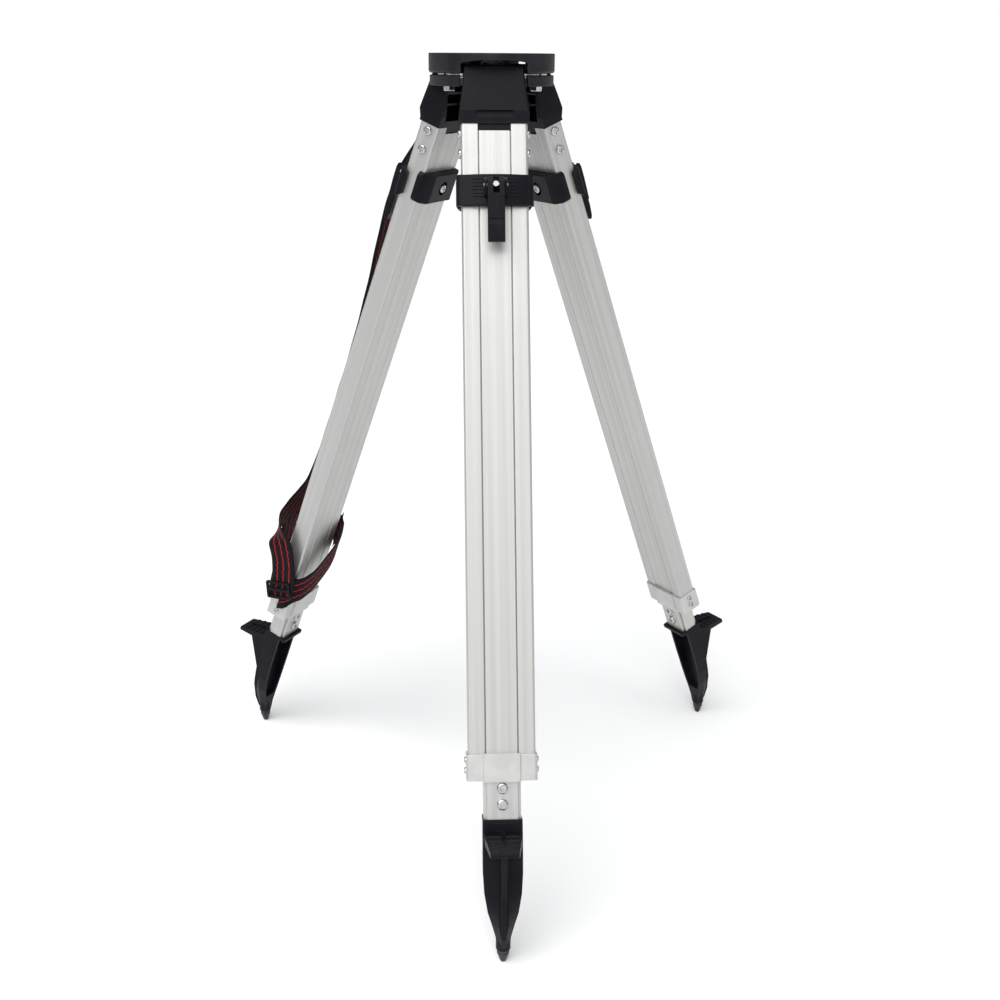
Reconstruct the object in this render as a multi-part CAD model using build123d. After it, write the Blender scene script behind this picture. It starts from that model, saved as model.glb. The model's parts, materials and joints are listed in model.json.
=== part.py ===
"""Surveyor tripod: flat head, three telescopic aluminium legs with cam clamps, boots and a carrying strap.

Frame: +Z up, origin on the tripod's axis at the head's top face.  The front leg points along -Y.
A leg has its own coordinates: u runs down the leg from the top of its rails, v points outwards from the
leg's outer face and w runs across the leg.
"""
import math
import os

from build123d import *

os.makedirs("parts", exist_ok=True)

# ---------------------------------------------------------------- driving dimensions, mm
LEG_SPREAD = 21.07
HINGE_RADIUS = 40.1
HINGE_Z = -23.1
HINGE_TO_RAIL = 61.1
LEG_TURNS = {"front": 0, "right": 120, "left": 240}

HEAD_R = 74.0
PLATE_T = 7.0
WINDOW_R = 27.0
SKIRT_R = 67.0
SKIRT_Z = -13.0
ARCH_R = 205.0
ARCH_Z = -6.5
CAP_R = 73.0
LOBE_SIDE = 38.0
LOBE_Z = -22.0
LOBE_CORNER_R = 3.0
CAP_TOP_Z = -24.0
CAP_BOTTOM_Z = -36.0
PIN_R = 4.0
PIN_HALF = 50.0
FIT_FIXED = 0.02
FIT_RUNNING = 0.05
CAP_BOLT_AT = 58.0
CAP_BOLT_R = 4.0
CAP_BOLT_FLATS = 13.0
CAP_BOLT_HEAD = 5.5

ARM_PIVOT_Y = 35.0
ARM_TOP_Z = -9.5
ARM_BOTTOM_Z = -13.5
ARM_HALF_WIDTH = 12.0
ARM_TIP_Y = -25.0
ARM_SLOT_HALF = 8.9
ARM_SLOT_FRONT_Y = -21.0
ARM_SLOT_BACK_Y = 14.5
CARRIAGE_NECK_HALF = 8.6
CARRIAGE_TOP_Z = -7.2
CARRIAGE_BOTTOM_Z = -17.5
CARRIAGE_GAP = 0.3
SCREW_R = 7.9375
SCREW_THREAD_END_Z = -7.1
SCREW_SHANK_R = 6.0
HANDLE_TOP_Z = -36.0
HANDLE_BOTTOM_Z = -70.0
HANDLE_R = 13.0

RAIL_HALF_WIDTH = 38.0
RAIL_HALF_DEPTH = 13.35
RAIL_INNER_EDGE = 18.6
RAIL_LENGTH = 736.0
RAIL_WALL = 1.4
RAIL_CORNER_R = 2.8
CHANNEL_EDGE = 22.4
CHANNEL_HALF_DEPTH = 9.4

INNER_HALF_WIDTH = 17.8
INNER_TONGUE = 21.0
INNER_TONGUE_HALF_DEPTH = 9.0
INNER_WALL = 1.5
INNER_TOP_U = 8.0
INNER_BOTTOM_U = 787.0

COLLAR_TOP_U = 711.5
COLLAR_BOTTOM_U = 741.0
COLLAR_HALF_WIDTH = 39.8
COLLAR_HALF_DEPTH = 15.6
COLLAR_PAD_HALF_WIDTH = 21.0
COLLAR_PAD_HALF_DEPTH = 17.4
COLLAR_CLEARANCE = 0.4

CASTING_TOP_U = -69.0
CASTING_OUTER_V = 20.0
CASTING_WALL = 5.0
KNUCKLE_R = 9.0
PRONG_LENGTH = 42.0

CLAMP_TOP_U = 60.0
CLAMP_BOTTOM_U = 95.5
CLAMP_HALF_WIDTH = 44.0
CLAMP_WALL = 5.5
CLAMP_CREST_V = 22.0
CLAMP_SHOULDER_V = 18.0
CLAMP_CORNER_R = 6.0
CLAMP_CHEEK_V = 7.0
CLAMP_CLEARANCE = 0.5
RIDGE_HALF_WIDTH = 26.0
RIDGE_DEPTH = 1.1
PLATE_TOP_U = 56.0
PLATE_BOTTOM_U = 93.0
PLATE_BACK_V = -24.0
PLATE_FLAT_HALF = 26.0
PLATE_BEND = (37.0, 18.2)
PLATE_SIDE = 11.5
PLATE_CORNER_R = 6.0
BOLT_RECESS_R = 8.8
LEVER_PIVOT_U = 75.0
LEVER_PIVOT_V = 31.0
LEVER_HALF_WIDTH = 9.7
LEVER_GAP = 0.4
EAR_T = 3.3
LEVER_PIN_R = 2.0
PIN_END = LEVER_HALF_WIDTH + EAR_T + 0.6
DRAW_BOLT_R = 3.0

BOOT_TOP_U = 784.0
BOOT_FLANGE_U = 788.5
BOOT_PLUG_U = 742.5
BOOT_BACK_V = -18.5
BOOT_FRONT_V = 15.6
BOOT_HALF_WIDTH = 22.2
BOOT_WEB_HALF = 3.0
STEP_RIBS = (25.0, 33.5, 42.0, 50.5, 59.0)
STEP_ROOT = (15.0, 797.0)
STEP_SLOPE = 14.0 / 46.0
POINT_R = 7.2
POINT_SLEEVE_R = 8.4
POINT_TIP = (949.0, -18.5)
POINT_LENGTH = 26.0
POINT_NOSE_R = 3.0

STRAP_WIDTH = 38.0
STRAP_T = 2.4


# ---------------------------------------------------------------- leg coordinates
def leg_plane(turn):
    """The leg's own plane: x across the leg, y towards the tripod's axis, z up the leg."""
    spread = math.radians(LEG_SPREAD)
    around = math.radians(turn)
    out = Vector(math.sin(around), -math.cos(around), 0)
    across = Vector(math.cos(around), math.sin(around), 0)
    up_leg = Vector(0, 0, 1) * math.cos(spread) - out * math.sin(spread)
    hinge = out * HINGE_RADIUS + Vector(0, 0, HINGE_Z)
    return Plane(origin=hinge - up_leg * HINGE_TO_RAIL, x_dir=across, z_dir=up_leg)


def block(w, v, u):
    """A box between two values of w, v and u."""
    size = (w[1] - w[0], v[1] - v[0], u[1] - u[0])
    return Pos(sum(w) / 2, -sum(v) / 2, -sum(u) / 2) * Box(*size)


def rod_across(radius, w, v, u):
    """A rod along w."""
    return Pos(sum(w) / 2, -v, -u) * Rot(0, 90, 0) * Cylinder(radius, w[1] - w[0])


def rod_outwards(radius, w, v, u):
    """A rod along v."""
    return Pos(w, -sum(v) / 2, -u) * Rot(90, 0, 0) * Cylinder(radius, v[1] - v[0])


def side_prism(outline, w):
    """A prism across the leg from an outline of (v, u) points."""
    face = make_face(Polyline(*[(w[0], -v, -u) for v, u in outline], close=True))
    return extrude(face, amount=w[1] - w[0], dir=(1, 0, 0))


def front_prism(outline, v):
    """A prism through the leg from an outline of (w, u) points."""
    face = make_face(Polyline(*[(x, -v[0], -u) for x, u in outline], close=True))
    return extrude(face, amount=v[1] - v[0], dir=(0, -1, 0))


def mirrored(outline):
    """A right-hand outline of (w, u) points closed by its mirror image."""
    return outline + [(-w, u) for w, u in reversed(outline)]


def section_along(face, u):
    """A flat section, drawn as (w, -v), run along the leg between two values of u."""
    return Pos(0, 0, -u[1]) * extrude(face, amount=u[1] - u[0])


# ---------------------------------------------------------------- leg pieces
def top_casting():
    side = [(0, CASTING_TOP_U), (CASTING_OUTER_V - 2, -66), (CASTING_OUTER_V, -63), (CASTING_OUTER_V, -13),
            (14.5, -1), (14.5, 0), (-13.4, 0), (-13.4, -13), (-10, -26), (-5, -42), (-KNUCKLE_R, -60)]
    front = [(34.8, -72), (34.8, -55), (36, -41), (38.4, -25), (39.9, -12), (39.9, 0)]
    body = side_prism(side, (-42, 42)) & front_prism(mirrored(front), (-30, 30))
    body = body + rod_across(KNUCKLE_R, (-34.8, 34.8), 0, -HINGE_TO_RAIL)
    corners = body.edges().filter_by(lambda e: e.center().Y < -CASTING_OUTER_V + 3)
    body = fillet(corners.filter_by(lambda e: abs(e.center().X) > 30), 2.2)
    body = body - block((-29.5, 29.5), (-40, CASTING_OUTER_V - CASTING_WALL), (-49, -8))
    for rib_u in (-38, -24):
        body = body + block((-30, 30), (0, 16), (rib_u, rib_u + 2.5))
    ledge = block((-22, 22), (CASTING_OUTER_V - 3.7, CASTING_OUTER_V + 5), (-13.5, -6.5))
    body = body - fillet(ledge.edges().filter_by(Axis.Y), 3.0)
    body = body + block((-17.4, 17.4), (-12, 12), (-1, 7))
    for side_sign in (-1, 1):
        prong_w = sorted((side_sign * (CHANNEL_EDGE + RAIL_WALL + 0.2), side_sign * (RAIL_HALF_WIDTH - RAIL_WALL - 0.2)))
        prong_v = RAIL_HALF_DEPTH - RAIL_WALL - 0.2
        body = body + block(prong_w, (-prong_v, prong_v), (-1, PRONG_LENGTH))
    return body - rod_across(PIN_R + FIT_RUNNING, (-60, 60), 0, -HINGE_TO_RAIL)


def rail(side_sign):
    outer = Rectangle(RAIL_HALF_WIDTH - RAIL_INNER_EDGE, 2 * RAIL_HALF_DEPTH)
    outer = Pos(side_sign * (RAIL_HALF_WIDTH + RAIL_INNER_EDGE) / 2, 0) * outer
    far = outer.vertices().filter_by(lambda p: abs(p.X) > RAIL_INNER_EDGE + 1)
    near = outer.vertices().filter_by(lambda p: abs(p.X) < RAIL_INNER_EDGE + 1)
    outer = fillet(far, RAIL_CORNER_R)
    outer = fillet(outer.vertices().filter_by(lambda p: abs(p.X) < RAIL_INNER_EDGE + 1), 0.8)
    channel = Rectangle(2 * (CHANNEL_EDGE - RAIL_INNER_EDGE), 2 * CHANNEL_HALF_DEPTH)
    channel = Pos(side_sign * RAIL_INNER_EDGE, 0) * channel
    cavity_w = (CHANNEL_EDGE + RAIL_WALL, RAIL_HALF_WIDTH - RAIL_WALL)
    cavity = Rectangle(cavity_w[1] - cavity_w[0], 2 * (RAIL_HALF_DEPTH - RAIL_WALL))
    cavity = Pos(side_sign * sum(cavity_w) / 2, 0) * cavity
    return section_along(outer - channel - cavity, (0, RAIL_LENGTH))


def inner_leg():
    body = Rectangle(2 * INNER_HALF_WIDTH, 2 * RAIL_HALF_DEPTH)
    body = fillet(body.vertices(), 0.8)
    tongues = Rectangle(2 * INNER_TONGUE, 2 * INNER_TONGUE_HALF_DEPTH)
    cavity = Rectangle(2 * (INNER_HALF_WIDTH - INNER_WALL), 2 * (RAIL_HALF_DEPTH - INNER_WALL))
    tube = section_along(body + tongues - cavity, (INNER_TOP_U, INNER_BOTTOM_U))
    return tube - rod_outwards(DRAW_BOLT_R, 0, (-20, 20), LEVER_PIVOT_U)


def collar():
    width = (-COLLAR_HALF_WIDTH, COLLAR_HALF_WIDTH)
    pad = (-COLLAR_PAD_HALF_WIDTH, COLLAR_PAD_HALF_WIDTH)
    shell = block(width, (-COLLAR_HALF_DEPTH, COLLAR_HALF_DEPTH), (COLLAR_TOP_U, COLLAR_BOTTOM_U))
    shell = fillet(shell.edges().filter_by(Axis.Z), 3.2)
    raised = block(pad, (-COLLAR_PAD_HALF_DEPTH, COLLAR_PAD_HALF_DEPTH), (COLLAR_TOP_U - 1, COLLAR_BOTTOM_U + 1))
    raised = fillet(raised.edges().filter_by(Axis.Z), 1.2)
    shell = fillet(shell.edges().group_by(Axis.Z)[-1] + shell.edges().group_by(Axis.Z)[0], 0.8)
    inside = RAIL_HALF_DEPTH + COLLAR_CLEARANCE
    guide = INNER_TONGUE + COLLAR_CLEARANCE
    shell = shell + raised
    shell = shell - block((-RAIL_HALF_WIDTH, RAIL_HALF_WIDTH), (-RAIL_HALF_DEPTH, RAIL_HALF_DEPTH), (700, RAIL_LENGTH))
    return shell - block((-guide, guide), (-inside, inside), (700, 760))


def cross_drive(radius, w, v, u, sign):
    """The cross-shaped hollow in a screw head whose top is at v."""
    depth = sorted((v - sign * 1.5, v + sign))
    arm = radius * 0.6
    half = radius * 0.15
    cross = block((w - half, w + half), depth, (u - arm, u + arm))
    return cross + block((w - arm, w + arm), depth, (u - half, u + half))


def pan_head_outwards(radius, height, w, v, u):
    """A pan head whose flat seat is at v, standing out along +v or -v, with a cross-shaped drive."""
    sign = 1 if v > 0 else -1
    span = sorted((v, v + sign * height))
    head = rod_outwards(radius, w, span, u)
    top = head.edges().filter_by(lambda e: abs(e.center().Y + (v + sign * height)) < 0.01)
    head = fillet(top, min(height * 0.6, radius * 0.5))
    shank = rod_outwards(radius * 0.45, w, sorted((v, v - sign * 5)), u)
    return (head + shank) - cross_drive(radius, w, v + sign * height, u, sign)


def pan_head_across(radius, height, w, v, u):
    """A pan head whose flat seat is at w, standing out along +w or -w."""
    sign = 1 if w > 0 else -1
    turned = pan_head_outwards(radius, height, 0, abs(w), 0)
    return Pos(0, -v, -u) * Rot(0, 0, 90 * sign) * turned


def rail_screws():
    screws = []
    for sign in (-1, 1):
        for u in (8.5, 31.5):
            screws.append(pan_head_across(5.6, 3.4, sign * RAIL_HALF_WIDTH, 0, u))
        for u in (719.5, 731.0):
            screws.append(pan_head_across(3.6, 2.2, sign * COLLAR_HALF_WIDTH, 0, u))
    return screws


def boot_bolts():
    bolts = []
    for sign in (-1, 1):
        for u in (749.5, 767.5):
            bolts.append(pan_head_outwards(6.3, 3.6, 0, sign * RAIL_HALF_DEPTH, u))
    return bolts


def with_bolt_holes(piece, heads):
    """The piece less the solids of the screws that pass into it."""
    for head in heads:
        piece = piece - head
    return piece


def crest_ring(outer_v, inner_v):
    """A ring in the (w, -v) plane that follows the band's slightly domed outer face."""
    rise = CLAMP_CREST_V - CLAMP_SHOULDER_V
    chord = CLAMP_HALF_WIDTH - CLAMP_CORNER_R
    radius = (chord * chord + rise * rise) / (2 * rise)
    ring = Circle(radius + outer_v - CLAMP_CREST_V) - Circle(radius + inner_v - CLAMP_CREST_V)
    return Pos(0, radius - CLAMP_CREST_V) * ring


def clamp_band():
    inner = CLAMP_HALF_WIDTH - CLAMP_WALL
    face_v = RAIL_HALF_DEPTH + CLAMP_CLEARANCE
    corner_w = CLAMP_HALF_WIDTH - CLAMP_CORNER_R
    corner_v = CLAMP_SHOULDER_V - CLAMP_CORNER_R
    slant = CLAMP_CORNER_R * math.sqrt(0.5)
    crest = ThreePointArc((-corner_w, -CLAMP_SHOULDER_V), (0, -CLAMP_CREST_V), (corner_w, -CLAMP_SHOULDER_V))
    corners = [ThreePointArc((sign * corner_w, -CLAMP_SHOULDER_V), (sign * (corner_w + slant), -corner_v - slant),
                             (sign * CLAMP_HALF_WIDTH, -corner_v)) for sign in (-1, 1)]
    half = [(CLAMP_HALF_WIDTH, -corner_v), (CLAMP_HALF_WIDTH, -CLAMP_CHEEK_V), (inner, -CLAMP_CHEEK_V),
            (inner, -face_v), (INNER_HALF_WIDTH, -face_v), (INNER_HALF_WIDTH - 0.5, -RAIL_HALF_DEPTH)]
    back = Polyline(*half, *[(-x, y) for x, y in reversed(half)])
    band = section_along(make_face(crest + corners[0] + corners[1] + back), (CLAMP_TOP_U, CLAMP_BOTTOM_U))
    ends = band.edges().filter_by(lambda e: e.center().Y < -CLAMP_SHOULDER_V - 0.1)
    middle_u = (CLAMP_TOP_U + CLAMP_BOTTOM_U) / 2
    band = fillet(ends.filter_by(lambda e: abs(e.center().Z + middle_u) > 17), 1.2)
    band = band & side_prism([(40, CLAMP_TOP_U), (40, CLAMP_BOTTOM_U), (13, CLAMP_BOTTOM_U), (5, 89), (5, 66),
                              (13, CLAMP_TOP_U)], (-50, 50))
    groove = crest_ring(CLAMP_CREST_V + 5, CLAMP_CREST_V - RIDGE_DEPTH) & (
        Pos(0, -CLAMP_CREST_V) * Rectangle(2 * RIDGE_HALF_WIDTH, 12))
    for groove_u in (65.5, 69.5, 73.5, 77.5, 81.5, 85.5):
        band = band - section_along(groove, (groove_u, groove_u + 1.5))
    inside_ear = LEVER_HALF_WIDTH + LEVER_GAP
    for sign in (-1, 1):
        ear_w = sorted((sign * inside_ear, sign * (LEVER_HALF_WIDTH + EAR_T)))
        ear = side_prism([(18, 66), (30, 66.5), (36.5, 71), (36.5, 79), (31, 85), (18, 88)], ear_w)
        band = band + fillet(ear.edges().filter_by(Axis.X), 1.5)
    band = band - block((-inside_ear, inside_ear), (CLAMP_CREST_V - 2.2, 40), (64, 110))
    band = band - rod_across(LEVER_PIN_R + FIT_FIXED, (-20, 20), LEVER_PIVOT_V, LEVER_PIVOT_U)
    return band - rod_outwards(DRAW_BOLT_R, 0, (0, 40), LEVER_PIVOT_U)


def clamp_plate():
    """The plate on the inner side: flat in the middle and bent round to the band's tails."""
    inner = CLAMP_HALF_WIDTH - CLAMP_WALL
    face_v = RAIL_HALF_DEPTH + CLAMP_CLEARANCE
    back = Polyline((-PLATE_FLAT_HALF, -PLATE_BACK_V), (PLATE_FLAT_HALF, -PLATE_BACK_V))
    bends = [ThreePointArc((sign * PLATE_FLAT_HALF, -PLATE_BACK_V), (sign * PLATE_BEND[0], PLATE_BEND[1]),
                           (sign * CLAMP_HALF_WIDTH, PLATE_SIDE)) for sign in (-1, 1)]
    half = [(CLAMP_HALF_WIDTH, PLATE_SIDE), (CLAMP_HALF_WIDTH, CLAMP_CHEEK_V), (inner, CLAMP_CHEEK_V),
            (inner, face_v), (INNER_HALF_WIDTH, face_v), (INNER_HALF_WIDTH - 0.5, RAIL_HALF_DEPTH)]
    front = Polyline(*half, *[(-x, y) for x, y in reversed(half)])
    plate = section_along(make_face(back + bends[0] + bends[1] + front), (PLATE_TOP_U, PLATE_BOTTOM_U))
    plan = block((-CLAMP_HALF_WIDTH, CLAMP_HALF_WIDTH), (-30, 30), (PLATE_TOP_U, PLATE_BOTTOM_U))
    plate = plate & fillet(plan.edges().filter_by(Axis.Y), PLATE_CORNER_R)
    flat_edges = plate.edges().filter_by(lambda e: e.center().Y > -PLATE_BACK_V - 0.01)
    plate = chamfer(flat_edges.filter_by(Axis.X), 1.2)
    recess = rod_outwards(BOLT_RECESS_R, 0, (PLATE_BACK_V - 2, PLATE_BACK_V + 5), LEVER_PIVOT_U)
    return plate - recess - rod_outwards(DRAW_BOLT_R, 0, (-40, 0), LEVER_PIVOT_U)


def draw_bolt():
    seat_v = PLATE_BACK_V + 5
    head_v = seat_v - 6.4
    shank = rod_outwards(DRAW_BOLT_R, 0, (seat_v - 1, LEVER_PIVOT_V + 5), LEVER_PIVOT_U)
    head = rod_outwards(5.4, 0, (head_v, seat_v), LEVER_PIVOT_U)
    head = fillet(head.edges().filter_by(lambda e: e.center().Y > -head_v - 0.1), 2.0)
    bolt = shank + head - cross_drive(5.4, 0, head_v, LEVER_PIVOT_U, -1)
    return bolt - rod_across(LEVER_PIN_R + FIT_FIXED, (-20, 20), LEVER_PIVOT_V, LEVER_PIVOT_U)


def lever():
    side = [(40.3, 68), (42, 74), (42, 88), (41, 108), (40.6, 115), (39.2, 116), (39.2, 122), (37.8, 136.5),
            (36, 140.5), (33.5, 140.5), (32, 132), (31.6, 110), (30, 92), (27, 82)]
    body = side_prism(side, (-LEVER_HALF_WIDTH, LEVER_HALF_WIDTH))
    body = body + rod_across(8.4, (-LEVER_HALF_WIDTH, LEVER_HALF_WIDTH), LEVER_PIVOT_V, LEVER_PIVOT_U)
    long_edges = body.edges().filter_by(lambda e: abs(abs(e.center().X) - LEVER_HALF_WIDTH) < 0.01)
    body = fillet(long_edges.filter_by(lambda e: e.center().Z < -95), 0.8)
    notch_u = (LEVER_PIVOT_U - 14, LEVER_PIVOT_U + 12)
    body = body - block((-DRAW_BOLT_R - 0.6, DRAW_BOLT_R + 0.6), (10, 50), notch_u)
    return body - rod_across(LEVER_PIN_R + FIT_RUNNING, (-20, 20), LEVER_PIVOT_V, LEVER_PIVOT_U)


# Down the boot: u, half width, back v, front v at the sides, half width and v of the raised middle.
BOOT_SECTIONS = [(788.0, 22.2, -9, 15.6, 4, 15.9), (812, 22.3, -9, 13, 4, 14), (826, 22.4, -9, 11.5, 4, 12.5),
                 (845, 22.4, -9, 8, 4.5, 11), (869, 21, -9.5, 5, 6, 11), (890, 17.4, -11, 2, 6, 12),
                 (905, 12.6, -13, -1, 5, 10), (919, 8.6, -15, -4, 3, 5), (930, 7.4, -17, -8, 2.4, -3)]
# The same for the hollow behind it: u, half width, front v.
BOOT_HOLLOW = [(791, 19.0, 11), (845, 19.2, 4.5), (869, 17.8, 1.5), (890, 14.2, -1.5), (903, 10.0, -4.5)]
BOOT_WEB_SIDE = [(0, 795), (15, 799), (51, 811), (51, 815), (45.5, 826), (35.5, 845), (26.7, 862), (23, 869),
                 (20, 890), (18, 900), (9.5, 919), (-1, 931), (-10, 926), (-6, 880)]


def boot_shell():
    """The shoe under the flange: walls on three sides, open at the back."""
    outside = []
    for u, half, back, side, mid_half, mid in BOOT_SECTIONS:
        outline = [(half, -back), (half, -side), (mid_half, -mid), (-mid_half, -mid), (-half, -side), (-half, -back)]
        outside.append(Pos(0, 0, -u) * make_face(Polyline(*outline, close=True)))
    inside = []
    for u, half, front in BOOT_HOLLOW:
        outline = [(half, 40), (half, -front), (-half, -front), (-half, 40)]
        inside.append(Pos(0, 0, -u) * make_face(Polyline(*outline, close=True)))
    return loft(outside, ruled=True), loft(inside, ruled=True)


def step_top(v):
    """The step's top face at a distance v from the leg's outer face."""
    return STEP_ROOT[1] + (v - STEP_ROOT[0]) * STEP_SLOPE


def boot_step():
    """The plate that is pressed with the foot, nearly square to the leg, with rounded ribs across it."""
    side = [(12, step_top(12)), (61, step_top(61)), (62.3, 812.5), (62, 815.5), (60, 816.2), (36, 811), (12, 807)]
    half_plan = [(20.4, -10), (20.4, -30), (15.6, -62.3)]
    plan = make_face(Polyline(*half_plan, *[(-x, y) for x, y in reversed(half_plan)], close=True))
    plan = fillet(plan.vertices().filter_by(lambda p: p.Y < -60), 3.0)
    outline = section_along(plan, (780, 830))
    step = side_prism(side, (-30, 30))
    for rib_v in STEP_RIBS[:-1]:
        step = step + rod_across(2.2, (-19, 19), rib_v, step_top(rib_v) + 1.2)
    trough = [(18, step_top(18) + 1.6), (52, step_top(52) + 1.6), (52, step_top(52) - 5), (18, step_top(18) - 5)]
    step = step - side_prism(trough, (-2.4, 2.4))
    return step & outline


def boot():
    flange = block((-BOOT_HALF_WIDTH, BOOT_HALF_WIDTH), (BOOT_BACK_V, BOOT_FRONT_V), (BOOT_TOP_U, BOOT_FLANGE_U))
    flange = fillet(flange.edges().filter_by(Axis.Z), 1.5)
    shell, hollow = boot_shell()
    web = side_prism(BOOT_WEB_SIDE, (-BOOT_WEB_HALF, BOOT_WEB_HALF))
    body = (shell + web + boot_step()) - hollow
    tip_u, tip_v = POINT_TIP
    sleeve = Pos(0, -tip_v, -tip_u) * Rot(LEG_SPREAD, 0, 0) * Pos(0, 0, POINT_LENGTH - 1) * Cylinder(POINT_SLEEVE_R, 14)
    seat = block((-INNER_HALF_WIDTH, INNER_HALF_WIDTH), (-RAIL_HALF_DEPTH, RAIL_HALF_DEPTH), (700, INNER_BOTTOM_U))
    tongues = block((-INNER_TONGUE, INNER_TONGUE), (-INNER_TONGUE_HALF_DEPTH, INNER_TONGUE_HALF_DEPTH),
                    (700, INNER_BOTTOM_U))
    plug_w = INNER_HALF_WIDTH - INNER_WALL
    plug_v = RAIL_HALF_DEPTH - INNER_WALL
    plug = block((-plug_w, plug_w), (-plug_v, plug_v), (BOOT_PLUG_U, INNER_BOTTOM_U + 1))
    return (flange - seat - tongues) + body + sleeve + plug - foot_point()


def foot_point():
    """A round steel point that stands upright when the tripod is open."""
    cone_length = 12.0
    straight = POINT_LENGTH - cone_length
    shaft = Pos(0, 0, -straight / 2) * Cylinder(POINT_R, straight)
    cone = Pos(0, 0, -straight - cone_length / 2) * Cone(POINT_NOSE_R, POINT_R, cone_length)
    point = shaft + cone
    point = fillet(point.edges().group_by(Axis.Z)[0], POINT_NOSE_R * 0.8)
    tip_u, tip_v = POINT_TIP
    top = Pos(0, -tip_v, -tip_u) * Rot(LEG_SPREAD, 0, 0) * Pos(0, 0, POINT_LENGTH)
    return top * point


# ---------------------------------------------------------------- carrying strap
STRAP_ROUTE = [(14, 34, -32), (40, 38.5, -32), (80, 49, -32), (115, 52, -32), (150, 51.5, -32), (200, 47, -32),
               (255, 42, -32), (350, 38.5, -32), (460, 38.5, -32), (535, 41, -31), (570, 45.5, -20),
               (594, 47.5, 3), (604, 43, 27), (612, 33, 41), (622, 21, 48.6), (640, 10, 49.2), (660, 2, 49.2),
               (676, -2, 49.2)]
STRAP_SPREAD = [(0, 0, -1)] * 9 + [(0.15, 0, -0.99), (0.5, 0, -0.87), (0.8, 0, -0.6), (0.8, 0.1, -0.55),
                                   (0.7, 0.5, -0.5), (0.5, 0.86, 0), (0.42, 0.9, 0), (0.4, 0.92, 0), (0.4, 0.92, 0)]
LOOP_ROUTE = [(699, -2, 46.3), (694.5, -8, 46.5), (690.5, -12.5, 46), (685.5, -17.6, 43.4), (682, -21.2, 38.8),
              (678.5, -24.8, 33), (674, -27.3, 26), (667, -29, 15), (655, -29.5, 0), (642, -29, -15),
              (632.5, -27.3, -26), (627, -24.8, -33), (622.5, -21.2, -38.8), (618.5, -17.6, -43.4),
              (615, -12.5, -46), (611, -8, -46.8), (605, 10, -49), (602, 32, -50), (604, 50, -44),
              (618, 58, -36), (640, 58.5, -32), (670, 55, -32), (710, 53, -32), (750, 50, -32)]
LOOP_SPREAD = [(1, 0, 0)] * 18 + [(0.87, -0.4, -0.25), (0.38, -0.3, -0.87), (0.08, 0, -1), (0, 0, -1),
                                  (0, 0, -1), (0, 0, -1)]


def ribbon(route, spread, width, thickness):
    """A flat band along a route of (u, v, w) points; spread is the line across the band at each point."""
    points = [Vector(w, -v, -u) for u, v, w in route]
    sections = []
    for i, point in enumerate(points):
        ahead = points[min(i + 1, len(points) - 1)]
        behind = points[max(i - 1, 0)]
        along = (ahead - behind).normalized()
        across = Vector(spread[i][2], -spread[i][1], -spread[i][0]).normalized()
        lean = along.dot(across)
        slanted_width = width / math.sqrt(1 - lean * lean)
        along = (along - across * lean).normalized()
        sections.append(Plane(origin=point, x_dir=across, z_dir=along) * Rectangle(slanted_width, thickness))
    return loft(sections, ruled=True)


def strap_anchor():
    """A bent tab under the casting's outer edge, with a bar that the webbing is sewn round."""
    side = [(14.5, -1), (17, -6), (26, -2.5), (35, 3), (38, 8), (36.5, 11.5), (32, 8.6), (24, 4), (RAIL_HALF_DEPTH, 3),
            (RAIL_HALF_DEPTH, 0), (14.5, 0)]
    tab = side_prism(side, (-38, -4))
    return fillet(tab.edges().filter_by(Axis.X).filter_by(lambda e: e.center().Y < -31), 1.2)


def strap_buckle():
    """A three-bar slide, lying slanted on the near side of the leg."""
    frame = block((50.9, 53.6), (-20, 20), (-13, 13))
    frame = fillet(frame.edges().filter_by(Axis.X), 3)
    frame = frame - block((40, 60), (-16.5, 16.5), (-9, -2.5)) - block((40, 60), (-16.5, 16.5), (2, 9))
    return Pos(0, 0, -689) * Rot(24, 0, 0) * frame


# ---------------------------------------------------------------- head pieces
def sector_wedge(z):
    """The space between the front and right legs, a wedge whose two sides run along the legs."""
    vertex = LOBE_SIDE / math.sin(math.radians(60))
    reach = 120.0
    middle = math.radians(-30)
    points = [Vector(math.cos(middle), math.sin(middle)) * vertex]
    for edge in (-60, 60):
        turn = middle + math.radians(edge)
        points.append(points[0] + Vector(math.cos(turn), math.sin(turn)) * reach)
    face = make_face(Polyline(*[(p.X, p.Y, z[0]) for p in points], close=True))
    return extrude(face, amount=z[1] - z[0], dir=(0, 0, 1))


def disc(radius, z):
    return Pos(0, 0, sum(z) / 2) * Cylinder(radius, z[1] - z[0])


def hinge_pin(turn, clearance=0.0):
    pin = Pos(0, -HINGE_RADIUS, HINGE_Z) * Rot(0, 90, 0) * Cylinder(PIN_R + clearance, 2 * (PIN_HALF + clearance))
    return Rot(0, 0, turn) * pin


def cap_bolt(turn):
    head_top = CAP_BOTTOM_Z
    head = Pos(CAP_BOLT_AT, 0, head_top - CAP_BOLT_HEAD) * extrude(
        RegularPolygon(CAP_BOLT_FLATS / 2, 6, major_radius=False), CAP_BOLT_HEAD)
    head = chamfer(head.edges().group_by(Axis.Z)[0], 0.8)
    shank = Pos(CAP_BOLT_AT, 0, (head_top - 10) / 2) * Cylinder(CAP_BOLT_R, -10 - head_top)
    return Rot(0, 0, turn) * (head + shank)


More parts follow.
